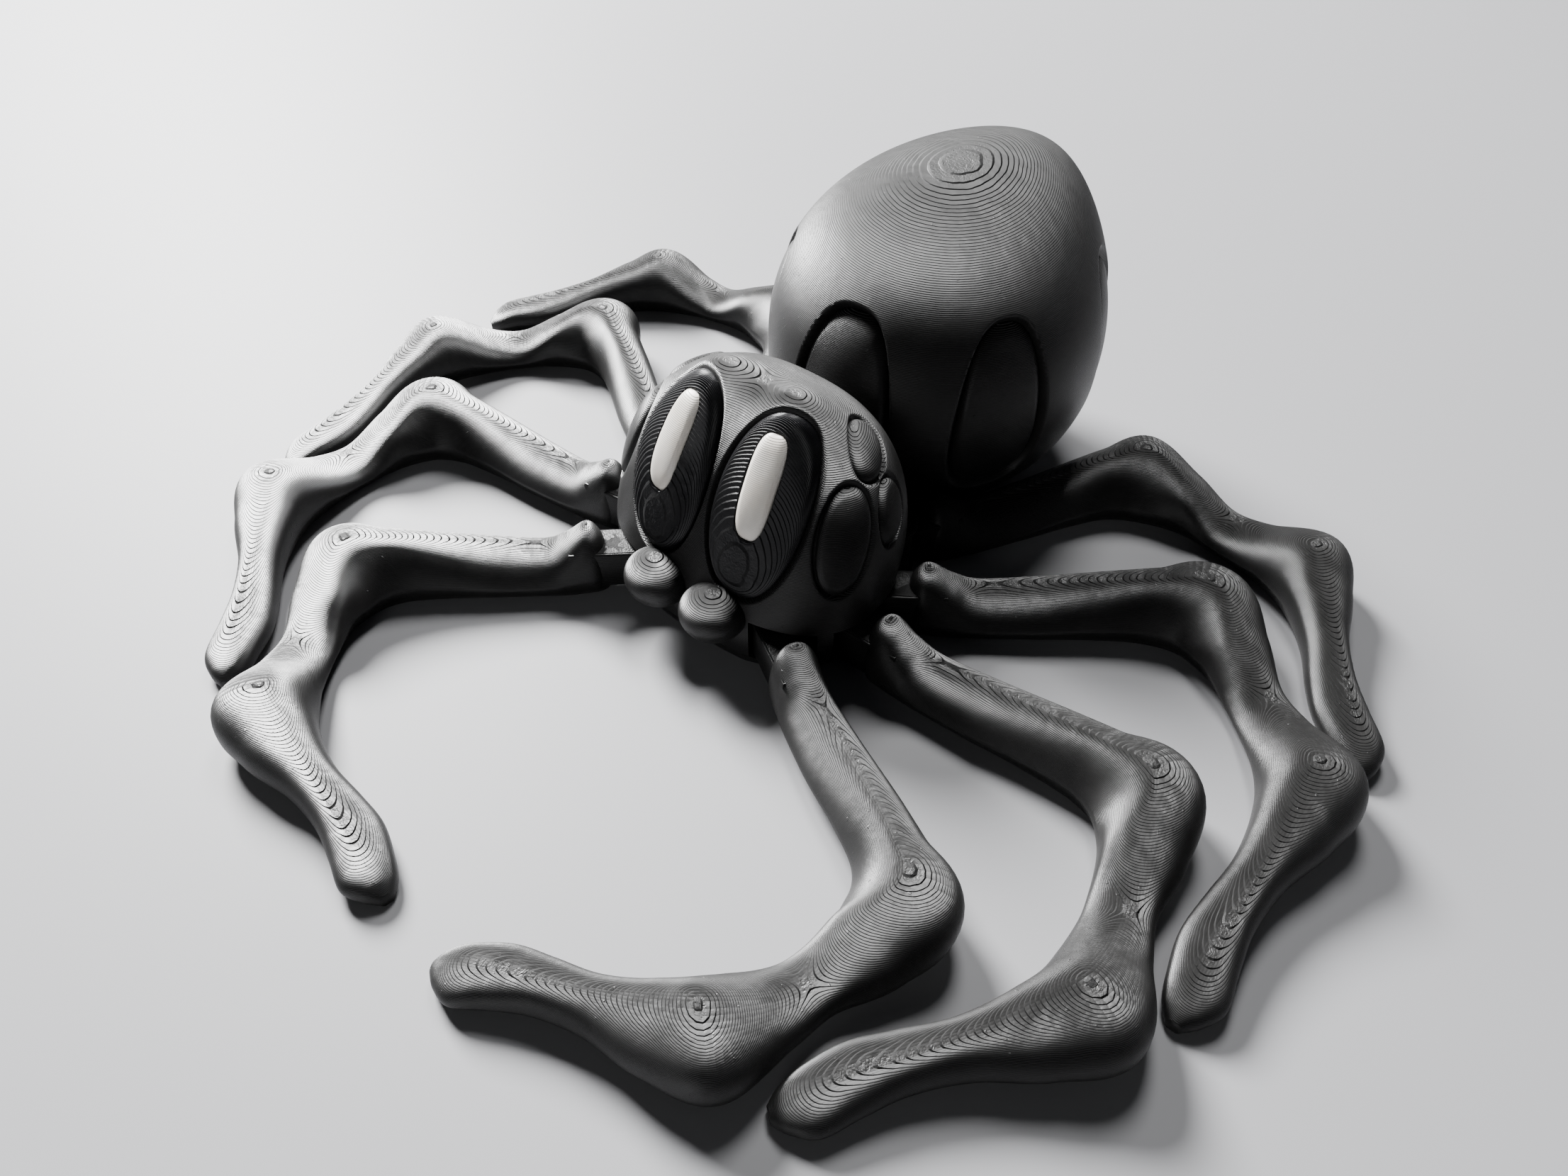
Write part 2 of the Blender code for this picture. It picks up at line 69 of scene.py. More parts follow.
#        x      y     plan scale, first knee's turn, left yaw, right yaw, slot yaw, half swing
HIPS = {
    1: (11.65, -11.7, 0.927, 76.9, 43.4, 29.3, 36.3, 17.0),
    2: (16.4, -4.7, 1.007, 76.9, 7.6, -2.4, 2.6, 14.0),
    3: (16.4, 1.2, 1.05, 76.9, -28.9, -37.6, -33.2, 14.0),
    4: (12.3, 12.2, 1.0, 65.7, -57.3, -60.0, -58.6, 14.0),
}
BOSS_RADIUS = 4.6
BOSS_HEIGHT = 9.5
BOSS_REACH = 12
BOSS_YAW = 20
ROOT_LENGTH = 8.1
THIGH_LENGTH = 36.9
REAR_THIGH_LENGTH = 35.8
SHIN_LENGTH = 26.9
FOOT_LENGTH = 30.3
SECOND_TURN = 51.3
TAB_WIDTH = 5.3
TAB_BOTTOM = 1.8
TAB_TOP = 8.0
SECTION_POWER = 2.15
TUCK = 2.0
TUCK_SHARE = 0.35
TUCK_HEIGHT = 3.0
LEG_SECTIONS = (
    ("thigh", -0.054, 0.0, 3.0, 3.0, 9.9, 0.0),
    ("thigh", 0.010, 0.0, 3.5, 3.4, 11.3, 0.2),
    ("thigh", 0.095, 0.0, 3.7, 3.1, 9.2, 0.5),
    ("thigh", 0.190, 0.2, 3.6, 3.2, 7.5, 1.2),
    ("thigh", 0.400, 0.3, 3.5, 3.7, 7.8, 1.6),
    ("thigh", 0.620, 0.5, 2.8, 4.7, 8.8, 1.6),
    ("thigh", 0.800, 1.2, 2.4, 5.9, 10.0, 1.8),
    ("knee_1", 0.0, 3.8, 3.4, 9.0, 10.8, 2.6),
    ("shin", 0.280, 0.7, 3.6, 6.4, 8.2, 0.0),
    ("shin", 0.500, 0.0, 3.9, 3.7, 5.3, 0.5),
    ("shin", 0.690, 0.3, 4.2, 4.6, 6.0, 0.6),
    ("knee_2", 0.0, 2.5, 4.4, 7.9, 10.0, 0.6),
    ("foot", 0.220, 0.5, 4.0, 5.4, 8.6, -0.4),
    ("foot", 0.450, 0.2, 3.3, 2.9, 6.9, -0.3),
    ("foot", 0.660, 0.0, 4.0, 2.1, 5.9, -0.3),
    ("foot", 0.830, 0.0, 4.2, 2.8, 5.4, -0.4),
    ("foot", 0.980, 0.0, 3.2, 3.6, 4.7, -0.3),
    ("foot", 1.070, 0.0, 2.2, 2.4, 3.4, 0.0),
    ("foot", 1.120, 0.0, 0.9, 0.9, 1.8, 0.0),
)
SLOT_RADIUS = 3.3
SLOT_TOP = 8.5
SLOT_REACH = 13.0
PLATE_TOP = 1.5
GAP = 0.3
WAIST_Y = 4.6
WAIST_TAB_WIDTH = 7.0
WAIST_TAB_TOP = 6.5
WAIST_TAB_END_Y = 27.0
WAIST_SLOT_RADIUS = 4.1
WAIST_SWING = 12.0
WAIST_SLOT_REACH = 16
INLAYS = {
    "big_eye": ((7.1, -8.0, 22.3), 12.6, 31.2, 6.6, 12.0, 6.05, 0.9, 2.6),
    "side_eye_front": ((17.6, -5.3, 20.8), 51.6, 25.5, 13.2, 6.9, 3.2, 0.3, 1.2),
    "side_eye_upper": ((14.1, 3.2, 28.5), 131.9, 39.3, 67.9, 4.1, 2.2, 0.3, 1.1),
    "side_eye_rear": ((19.1, 2.2, 21.8), 118.3, 24.0, 30.2, 4.0, 2.1, 0.3, 1.1),
}
PUPIL_RISE = 2.8
PUPIL_INSET = 0.4
PUPIL_ROLL = -3.0
PUPIL_HALF_LENGTH = 6.95
PUPIL_HALF_WIDTH = 2.3
PUPIL_CROWN = 0.55
EYE_PRINT_TOP = (7.2, -16.6, 11.8)   # where a big eye's printed layers are parallel to its face
FANG_CENTRE = (5.0, -15.9, 8.4)
FANG_HALF_SIZE = (4.7, 4.4, 3.7)
FANG_TURN = math.radians(-4.0)
PANELS = {
    "front": (2.5, 6.9),
    "right_front": (51.0, 6.0),
    "right_rear": (116.0, 6.4),
    "rear": (180.0, 6.7),
    "left_rear": (-116.0, 6.4),
    "left_front": (-51.0, 6.0),
}
PANEL_TAPER = 0.14
PANEL_HEIGHT = 22.4
PANEL_HALF_LENGTH = 12.7

# ---------------------------------------------------------------- dimensions of the looks alone
OVAL_POWER = 2.2          # 2 is an ellipse, more is squarer
PANEL_POWER = 2.6
PUPIL_POWER = 3.2
WELL_POWER = 2.8
EYE_GROOVE = 0.75         # middle of a groove's slope, outside the inlay's edge
SIDE_EYE_GROOVE = 0.45
GROOVE_SOFTNESS = 0.45
SOCKET_SHARE = 0.8        # how much of an inlay's depth its socket has
PANEL_GROOVE_DEPTH = 1.9
SLOT_TOP_STEP = 0.1       # keeps the slots' ceilings apart for the booleans
FAR = 60
ARC_STEPS = 24
ROOT_ROUNDING = 1.8
TAB_INTO_LEG = 3.0
TAB_ROUNDING = 0.35
STATIONS_PER_KEY = 10
SECTION_SIDES = 40


# ---------------------------------------------------------------- surfaces
def unit(rows):
    return rows / np.linalg.norm(rows, axis=-1, keepdims=True)


def skull_radius(direction):
    """Distance from SKULL_CENTRE to the head's surface, along unit rows."""
    x, y0, z0 = direction.T
    y = math.cos(SKULL_LEAN) * y0 + math.sin(SKULL_LEAN) * z0
    z = -math.sin(SKULL_LEAN) * y0 + math.cos(SKULL_LEAN) * z0
    depth = np.where(y < 0, SKULL_FRONT, SKULL_BACK)
    height = np.where(z > 0, SKULL_TOP, SKULL_BOTTOM)
    total = sum(
        (np.abs(value) / half) ** SKULL_POWER
        for value, half in ((x, SKULL_HALF_WIDTH), (y, depth), (z, height))
    )
    radius = total ** (-1 / SKULL_POWER)
    for side in (-1, 1):
        brow = unit(np.array((side * BROW_DIRECTION[0], *BROW_DIRECTION[1:])))
        away = np.arccos(np.clip(direction @ brow, -1, 1))
        radius = radius * (1 + BROW_HEIGHT * np.exp(-((away / BROW_SPREAD) ** 2)))
    return radius


def skull_inside(points):
    length = np.maximum(np.linalg.norm(points, axis=-1), 1e-9)
    return length < skull_radius(points / length[:, None])


def egg_inside(points):
    """Which rows, taken from EGG_CENTRE, lie in the egg."""
    along = math.cos(EGG_CLIMB) * points[:, 1] + math.sin(EGG_CLIMB) * points[:, 2]
    across = -math.sin(EGG_CLIMB) * points[:, 1] + math.cos(EGG_CLIMB) * points[:, 2]
    s = np.clip(along / EGG_HALF_LENGTH, -1, 1)
    girth = np.sqrt(1 - s * s) * (1 + EGG_TAPER * s + EGG_SHARPEN * s * s)
    return (points[:, 0] / EGG_HALF_WIDTH) ** 2 + (across / EGG_HALF_HEIGHT) ** 2 < girth**2


def crossing(start, direction, is_inside, low, high, steps=30):
    """How far along the direction each row leaves the body."""
    low, high = np.full(len(start), low), np.full(len(start), high)
    for _ in range(steps):
        middle = (low + high) / 2
        within = is_inside(start + direction * middle[:, None])
        low, high = np.where(within, middle, low), np.where(within, high, middle)
    return low


def egg_radius(direction):
    return crossing(np.zeros_like(direction), direction, egg_inside, 0.0, 60.0)


SKULL = (SKULL_CENTRE, skull_inside)
EGG = (EGG_CENTRE, egg_inside)


def facing(turn, rise, roll):
    """Outward normal, long axis and short axis of an inlay that faces turn and rise."""
    turn, rise, roll = (math.radians(angle) for angle in (turn, rise, roll))
    normal = np.array(
        (math.cos(rise) * math.sin(turn), -math.cos(rise) * math.cos(turn), math.sin(rise))
    )
    east = np.array((math.cos(turn), math.sin(turn), 0.0))
    north = -np.cross(east, normal)
    long_axis = math.cos(roll) * north + math.sin(roll) * east
    return normal, long_axis, -np.cross(long_axis, normal)


def edge_distance(points, place, axes, half_length, half_width, power, taper=0.0):
    """Signed distance outside an oval, measured on its plane."""
    _, long_axis, short_axis = axes
    away = points - place
    along, across = away @ long_axis, away @ short_axis
    across = across / (1 - taper * np.clip(along / half_length, -1.2, 1.2))
    q = (np.abs(along / half_length) ** power + np.abs(across / half_width) ** power) ** (1 / power)
    q = np.maximum(q, 1e-6)
    return np.hypot(along, across) * (1 - 1 / q)


def smooth_step(low, high, values):
    t = np.clip((values - low) / (high - low), 0, 1)
    return t * t * (3 - 2 * t)


# ---------------------------------------------------------------- meshes
def make(name, points, faces, body, material, replaces=(), angle=50):
    """A smooth piece from points in mm, riding on its body."""
    mesh = bpy.data.meshes.new(name)
    mesh.from_pydata([tuple(p) for p in np.asarray(points) * MM], [], faces)
    mesh.validate()
    shape = bmesh.new()
    shape.from_mesh(mesh)
    bmesh.ops.recalc_face_normals(shape, faces=shape.faces)
    shape.to_mesh(mesh)
    shape.free()
    return place_piece(bpy.data.objects.new(name, mesh), body, material, replaces, angle)


def place_piece(thing, body, material, replaces=(), angle=50):
    thing.data.materials.clear()
    thing.data.materials.append(material)
    thing.data.shade_smooth()
    thing.data.set_sharp_from_angle(angle=math.radians(angle))
    if thing.name not in bpy.context.scene.collection.objects:
        bpy.context.scene.collection.objects.link(thing)
    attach(thing, body)
    if replaces:
        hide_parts(*replaces)
    return thing


def strip_faces(rings, count, closed=True):
    """Quads between successive rings of count points."""
    faces = []
    for r in range(rings - 1):
        for i in range(count if closed else count - 1):
            j = (i + 1) % count
            faces.append((r * count + i, r * count + j, (r + 1) * count + j, (r + 1) * count + i))
    return faces


def globe(level):
    """Unit rows and triangles of a finely divided icosahedron."""
    shape = bmesh.new()
    bmesh.ops.create_icosphere(shape, subdivisions=level, radius=1.0)
    points = unit(np.array([v.co[:] for v in shape.verts]))
    faces = [tuple(v.index for v in face.verts) for face in shape.faces]
    shape.free()
    return points, faces


def solid(name, outline, low, high):
    """A prism between two heights, for cuts, bosses and tabs."""
    count = len(outline)
    points = [(x, y, z) for z in (low, high) for x, y in outline]
    faces = strip_faces(2, count) + [tuple(range(count))[::-1], tuple(range(count, 2 * count))]
    mesh = bpy.data.meshes.new(name)
    mesh.from_pydata([tuple(c * MM for c in p) for p in points], [], faces)
    thing = bpy.data.objects.new(name, mesh)
    bpy.context.scene.collection.objects.link(thing)
    return thing


def half_circle(radius, start, x=0.0, y=0.0):
    """Points of half a circle, counted on from the start angle in degrees."""
    angles = [math.radians(start + 180 * i / ARC_STEPS) for i in range(ARC_STEPS + 1)]
    return [(x + radius * math.cos(angle), y + radius * math.sin(angle)) for angle in angles]


def keyhole(x, y, radius, reach, half_swing, heading):
    """Outline of a slot that opens outwards by the swing each way."""
    outline = half_circle(radius, 90)
    spread = radius + reach * math.tan(math.radians(half_swing))
    outline += [(reach, -spread), (reach, spread)]
    c, s = math.cos(heading), math.sin(heading)
    return [(x + c * px - s * py, y + s * px + c * py) for px, py in outline]


def carve(thing, tools, operation="DIFFERENCE"):
    """Applies booleans with the tools, then removes the tools."""
    for tool in tools:
        boolean = thing.modifiers.new("cut", "BOOLEAN")
        boolean.operation = operation
        boolean.solver = "MANIFOLD"
        boolean.object = tool
    bpy.context.view_layer.update()
    evaluated = thing.evaluated_get(bpy.context.evaluated_depsgraph_get())
    mesh = bpy.data.meshes.new_from_object(evaluated)
    thing.modifiers.clear()
    thing.data = mesh
    for tool in tools:
        bpy.data.objects.remove(tool)


# ---------------------------------------------------------------- plastics
class Nodes:
    """Short calls for a material's node tree."""

    def __init__(self, name):
        self.material = bpy.data.materials.new(name)
        self.material.use_nodes = True
        self.tree = self.material.node_tree
        self.shader = self.tree.nodes["Principled BSDF"]

    def put(self, socket, value):
        if isinstance(value, bpy.types.NodeSocket):
            self.tree.links.new(value, socket)
        else:
            socket.default_value = value

    def math(self, operation, *values, clamp=False):
        node = self.tree.nodes.new("ShaderNodeMath")
        node.operation = operation
        node.use_clamp = clamp
        for socket, value in zip(node.inputs, values):
            self.put(socket, value)
        return node.outputs[0]

    def vector(self, operation, *values, output=0):
        node = self.tree.nodes.new("ShaderNodeVectorMath")
        node.operation = operation
        for socket, value in zip(node.inputs, values):
            self.put(socket, value)
        return node.outputs[output]

    def noise(self, where, scale, detail=2.0, distortion=0.0):
        node = self.tree.nodes.new("ShaderNodeTexNoise")
        self.put(node.inputs["Vector"], where)
        node.inputs["Scale"].default_value = scale
        node.inputs["Detail"].default_value = detail
        node.inputs["Distortion"].default_value = distortion
        return node.outputs[0]

    def spread(self, value, low, high, to_low, to_high):
        node = self.tree.nodes.new("ShaderNodeMapRange")
        node.interpolation_type = "SMOOTHSTEP"
        for socket, given in zip(node.inputs, (value, low, high, to_low, to_high)):
            self.put(socket, given)
        return node.outputs[0]

    def blend(self, factor, a, b):
        node = self.tree.nodes.new("ShaderNodeMix")
        node.data_type = "RGBA"
        self.put(node.inputs["Factor"], factor)
        node.inputs["A"].default_value = (*a, 1.0)
        node.inputs["B"].default_value = (*b, 1.0)
        return node.outputs["Result"]


def printed(name, dark, light, roughness, axis=(0, 0, 1), lines=1.0, grain=1.0, specular=0.5,
            layer=LAYER):
    """Layered plastic, its layers square to the axis.

    Each layer is a flat terrace with a steep front where the surface slopes, and a
    rounded bead where it is a wall. The nearly level tops carry rough, short strokes.
    """
    n = Nodes(name)
    where = n.vector("SCALE", n.tree.nodes.new("ShaderNodeTexCoord").outputs["Object"])
    where.node.inputs["Scale"].default_value = 1 / MM
    normal = n.tree.nodes.new("ShaderNodeNewGeometry").outputs["Normal"]
    level = n.vector("DOT_PRODUCT", where, axis, output=1)
    slope = n.vector("DOT_PRODUCT", normal, axis, output=1)
    wander = n.math("MULTIPLY", n.math("SUBTRACT", n.noise(where, 0.35), 0.5), 0.12)
    share = n.math("FRACT", n.math("DIVIDE", n.math("ADD", level, wander), layer))
    front = n.math("DIVIDE", n.math("SUBTRACT", 1.0, share), 0.22)
    ramp = n.math("SUBTRACT", 0.5, n.math("MINIMUM", n.math("DIVIDE", share, 0.78), front))
    terrace = n.math("MULTIPLY", n.math("MULTIPLY", ramp, slope), layer * lines)
    middle = n.math("SUBTRACT", n.math("MULTIPLY", share, 2.0), 1.0)
    round_ = n.math("SQRT", n.math("SUBTRACT", 1.02, n.math("MULTIPLY", middle, middle)))
    steep = n.math("SUBTRACT", 1.0, n.math("MULTIPLY", slope, slope))
    bead = n.math("MULTIPLY", n.math("MULTIPLY", round_, steep), 0.22 * layer * lines)
    flat = n.spread(slope, 0.980, 0.997, 0.0, 1.0)
    stroke = n.math("MULTIPLY", n.noise(where, 1.7, 2.0, 1.5), flat)
    fine = n.noise(where, 5.0, 3.0)
    patch = n.noise(where, 0.22, 3.0)
    spots = n.spread(n.noise(where, 1.3, 1.0), 0.74, 0.80, 0.0, 1.0)
    height = n.math("ADD", terrace, bead)
    for part, amount in ((stroke, 0.11 * lines), (fine, 0.012 * grain), (spots, 0.03 * grain)):
        height = n.math("ADD", height, n.math("MULTIPLY", part, amount))
    bump = n.tree.nodes.new("ShaderNodeBump")
    bump.inputs["Strength"].default_value = 1.0
    bump.inputs["Distance"].default_value = MM
    n.put(bump.inputs["Height"], height)
    n.put(n.shader.inputs["Normal"], bump.outputs["Normal"])
    tone = n.blend(n.spread(patch, 0.35, 0.65, 0.0, 1.0), dark, light)
    # painted shade: each layer's groove, just below its step, is darkened in the base colour; the
    # same mask also raises the roughness there
    painted_groove_shade = n.math("MULTIPLY", n.spread(share, 0.74, 0.88, 0.0, 1.0), 0.75 * min(lines, 1.0))
    tone_with_painted_shade = n.vector("SCALE", tone)
    n.put(tone_with_painted_shade.node.inputs["Scale"], n.math("SUBTRACT", 1.0, painted_groove_shade))
    n.put(n.shader.inputs["Base Color"], tone_with_painted_shade)
    rough = n.math("ADD", n.spread(patch, 0.3, 0.7, -0.02, 0.02), roughness)
    rough = n.math("ADD", rough, n.math("MULTIPLY", painted_groove_shade, 0.35))
    n.put(n.shader.inputs["Roughness"], n.math("ADD", rough, n.math("MULTIPLY", flat, 0.08)))
    n.shader.inputs["Specular IOR Level"].default_value = specular
    return n.material


CHARCOAL = printed("charcoal_plastic", (0.012, 0.0118, 0.0115), (0.016, 0.0157, 0.0154), 0.37,
                   lines=1.25)
CHARCOAL_LEG = printed("charcoal_leg", (0.012, 0.0118, 0.0115), (0.016, 0.0157, 0.0154), 0.36,
                       lines=1.25, layer=0.155)
CHARCOAL_PANEL = printed("charcoal_panel", (0.011, 0.0108, 0.0105), (0.017, 0.0167, 0.0163), 0.40,
                         lines=1.25, grain=2.0)
CHARCOAL_EGG = printed("charcoal_egg", (0.012, 0.0118, 0.0115), (0.015, 0.0148, 0.0145), 0.43,
                       axis=(0.066, -0.082, 0.994))
# painted shade: a darker copy of the charcoal plastic, for the tabs and the side eyes, which sit in
# shade
CHARCOAL_PAINTED_SHADE = printed("charcoal_painted_shade", (0.007, 0.007, 0.0068), (0.011, 0.0108, 0.0105), 0.38,
                       specular=0.35)
IVORY = printed("ivory_plastic", (0.88, 0.82, 0.73), (0.93, 0.89, 0.82), 0.30, lines=0.22,
                grain=0.3)
PIN = printed("pin_plastic", (0.09, 0.09, 0.09), (0.12, 0.12, 0.12), 0.40, lines=0.3)


# ---------------------------------------------------------------- head
def head_shell():
    direction, faces = globe(8)
    radius = skull_radius(direction)
    points = SKULL_CENTRE + direction * radius[:, None]
    sink = np.zeros(len(points))
    for side in (-1, 1):
        for kind, (place, turn, rise, roll, length, width, _, depth) in INLAYS.items():
            spot = np.array((side * place[0], place[1], place[2]))
            axes = facing(side * turn, rise, side * roll)
            away = edge_distance(points, spot, axes, length, width, OVAL_POWER)
            front = (points - spot) @ axes[0] > -9.0
            margin = EYE_GROOVE if kind == "big_eye" else SIDE_EYE_GROOVE
            hole = 1 - smooth_step(margin - GROOVE_SOFTNESS, margin + GROOVE_SOFTNESS, away)
            sink = np.maximum(sink, np.where(front, hole, 0) * depth * SOCKET_SHARE)
    points = SKULL_CENTRE + direction * (radius - sink)[:, None]
    mesh = bpy.data.meshes.new("head_skin")
    mesh.from_pydata([tuple(p) for p in points * MM], [], faces)
    thing = bpy.data.objects.new("head_skin", mesh)
    bpy.context.scene.collection.objects.link(thing)
    for side in (-1, 1):
        outline = keyhole(side * HIPS[4][0], HIPS[4][1], BOSS_RADIUS, BOSS_REACH, 0,
                          math.radians(-90 - side * BOSS_YAW))
        carve(thing, [solid("boss", outline, -2, BOSS_HEIGHT)], "UNION")
    everywhere = [(-FAR, -FAR), (FAR, -FAR), (FAR, FAR), (-FAR, FAR)]
    tools = [solid("below", everywhere, -FAR, PLATE_TOP + GAP)]
    for side in (-1, 1):
        for number, (x, y, _, _, _, _, slot_yaw, swing) in HIPS.items():
            heading = math.radians(-slot_yaw if side > 0 else 180 + slot_yaw)
            outline = keyhole(side * x, y, SLOT_RADIUS, SLOT_REACH, swing, heading)
            tools.append(solid("slot", outline, 0, SLOT_TOP + SLOT_TOP_STEP * number))
    outline = keyhole(0, WAIST_Y, WAIST_SLOT_RADIUS, WAIST_SLOT_REACH, WAIST_SWING,
                      math.radians(90))
    tools.append(solid("waist", outline, 0, WAIST_TAB_TOP + 0.5))
    carve(thing, tools)
    place_piece(thing, "head", CHARCOAL, ["head_shell"])


def inlay(name, body, place, axes, half_length, half_width, crown, top, bottom, edge, material,
          body_name, replaced, power=OVAL_POWER, well=None, sides=96, rings=30, taper=0.0):
    """A thin oval plate that follows a body's surface, with a rounded rim.

    well is an oval (place, axes, half length, half width, depth) sunk into its face.
    """
    centre, is_inside = body
    normal, long_axis, short_axis = axes
    angle = np.arange(sides) * 2 * np.pi / sides
    along = np.sign(np.cos(angle)) * np.abs(np.cos(angle)) ** (2 / power)
    across = np.sign(np.sin(angle)) * np.abs(np.sin(angle)) ** (2 / power) * (1 - taper * along)
    rows = []
    for spot in [math.sin(math.pi / 2 * k / rings) for k in range(rings + 1)]:
        flat = place + np.outer(along * half_length * spot, long_axis)
        flat = flat + np.outer(across * half_width * spot, short_axis)
        height = crossing(flat - centre, normal[None, :], is_inside, -8.0, 25.0)
        inwards = half_width * (1 - spot)
        drop = edge - math.sqrt(max(0.0, edge**2 - max(0.0, edge - inwards) ** 2))
        level = top + crown * math.sqrt(max(0.0, 1 - spot * spot)) - drop
        points = flat + normal * (height + level)[:, None]
        if well:
            *oval, well_depth = well
            away = edge_distance(points, *oval, WELL_POWER)
            points = points - normal * (well_depth * (1 - smooth_step(-0.35, 0.1, away)))[:, None]
        rows.append(points)
    rows.append(rows[-1] - normal * (top - edge - bottom))
    points = np.concatenate(rows)
    faces = strip_faces(len(rows), sides)
    faces.append(tuple(range((len(rows) - 1) * sides, len(rows) * sides)))
    mesh_faces = [f for f in faces if len(set(f)) == len(f)]
    thing = make(name, points, mesh_faces, body_name, material, replaced, angle=60)
    merge_close(thing)


def merge_close(thing):
    """Joins the points that meet in the middle of an inlay."""
    shape = bmesh.new()
    shape.from_mesh(thing.data)
    bmesh.ops.remove_doubles(shape, verts=shape.verts, dist=1e-6)
    bmesh.ops.recalc_face_normals(shape, faces=shape.faces)
    shape.to_mesh(thing.data)
    shape.free()


def head_inlays():
    for label, side in (("left", -1), ("right", 1)):
        top_point = np.array((side * EYE_PRINT_TOP[0], *EYE_PRINT_TOP[1:])) - SKULL_CENTRE
        steps = np.eye(3) * 0.01
        lean = [
            np.linalg.norm(top_point + s) / skull_radius(unit(top_point + s)[None])[0]
            - np.linalg.norm(top_point - s) / skull_radius(unit(top_point - s)[None])[0]
            for s in steps
        ]
        eye_axis = tuple(float(v) for v in unit(np.array(lean)))
        black = printed(f"black_gloss_{label}", (0.005, 0.005, 0.006), (0.009, 0.009, 0.010), 0.27,
                        axis=eye_axis, lines=0.9, grain=0.4, specular=0.22)
        for kind, (place, turn, rise, roll, length, width, crown, depth) in INLAYS.items():
            spot = np.array((side * place[0], place[1], place[2]))
            axes = facing(side * turn, rise, side * roll)
            node = f"{kind}_{label}"
            if kind == "big_eye":
                middle = spot + axes[1] * PUPIL_RISE - (side * PUPIL_INSET, 0, 0)
                pupil_axes = facing(side * turn, rise, side * (roll + PUPIL_ROLL))
                well = (middle, pupil_axes, PUPIL_HALF_LENGTH, PUPIL_HALF_WIDTH, 1.0)
                inlay(f"{node}_lens", SKULL, spot, axes, length + 0.35, width + 0.35, crown, 0.3,
                      -depth, 1.0, black, "head", [node], well=well,
                      sides=160, rings=60)
                inlay(f"pupil_{label}_bead", SKULL, middle, pupil_axes, PUPIL_HALF_LENGTH,
                      PUPIL_HALF_WIDTH, PUPIL_CROWN, 1.15, -0.4, 0.7, IVORY, "head",
                      [f"pupil_{label}"], power=PUPIL_POWER)
            else:
                # the side eyes take the darker charcoal as painted shade
                inlay(f"{node}_lens", SKULL, spot, axes, length + 0.1, width + 0.1, crown, 0.1,
                      -depth, 0.6, CHARCOAL_PAINTED_SHADE, "head", [node])


def fangs():
    direction, faces = globe(6)
    for label, side in (("left", -1), ("right", 1)):
        turn = Matrix.Rotation(side * FANG_TURN, 3, "Y")
        points = direction * np.array(FANG_HALF_SIZE) @ np.array(turn).T
        points = points + np.array((side * FANG_CENTRE[0], *FANG_CENTRE[1:]))
        make(f"fang_{label}_bead", points, faces, "head", CHARCOAL, [f"fang_{label}"])


# ---------------------------------------------------------------- abdomen
def abdomen():
    direction, faces = globe(8)
    radius = egg_radius(direction)
    points = EGG_CENTRE + direction * radius[:, None]
    sink = np.zeros(len(points))
    for label, (turn, half_width) in PANELS.items():
        axes = facing(turn, 0.0, 0.0)
        place = EGG_CENTRE + axes[0] * 8.0
        place[2] = PANEL_HEIGHT
        away = edge_distance(points, place, axes, PANEL_HALF_LENGTH, half_width, PANEL_POWER,
                             PANEL_TAPER)
        front = (points - place) @ axes[0] > 0
        hole = 1 - smooth_step(0.25, 1.25, away)
        sink = np.maximum(sink, np.where(front, hole, 0) * PANEL_GROOVE_DEPTH)
        inlay(f"abdomen_panel_{label}_face", EGG, place, axes, PANEL_HALF_LENGTH, half_width, 0.4,
              -0.6, -2.2, 0.9, CHARCOAL_PANEL, "abdomen", [f"abdomen_panel_{label}"],
              power=PANEL_POWER, taper=PANEL_TAPER)
    points = EGG_CENTRE + direction * (radius - sink)[:, None]
    points[:, 2] = np.maximum(points[:, 2], 0.0)
    make("abdomen_skin", points, faces, "abdomen", CHARCOAL_EGG, ["abdomen_shell"])
    half = WAIST_TAB_WIDTH / 2
    outline = [(half, WAIST_TAB_END_Y), (-half, WAIST_TAB_END_Y)]
    outline += half_circle(half, 180, y=WAIST_Y)
    tab("waist_tab", outline, WAIST_TAB_TOP, "abdomen", Matrix.Identity(4))


def tab(name, outline, top, body, place):
    """A hinge tab: the outline raised from TAB_BOTTOM, with small rounded edges."""
    thing = solid(name, outline, TAB_BOTTOM, top)
    shape = bmesh.new()
    shape.from_mesh(thing.data)
    bmesh.ops.recalc_face_normals(shape, faces=shape.faces)
    rims = [e for e in shape.edges if abs(e.verts[0].co.z - e.verts[1].co.z) < 1e-6]
    bmesh.ops.bevel(shape, geom=rims, offset=TAB_ROUNDING * MM, segments=3, affect="EDGES",
                    profile=0.5)
    shape.transform(place)
    shape.to_mesh(thing.data)
    shape.free()
    # tabs take the darker charcoal as painted shade
    return place_piece(thing, body, CHARCOAL_PAINTED_SHADE)


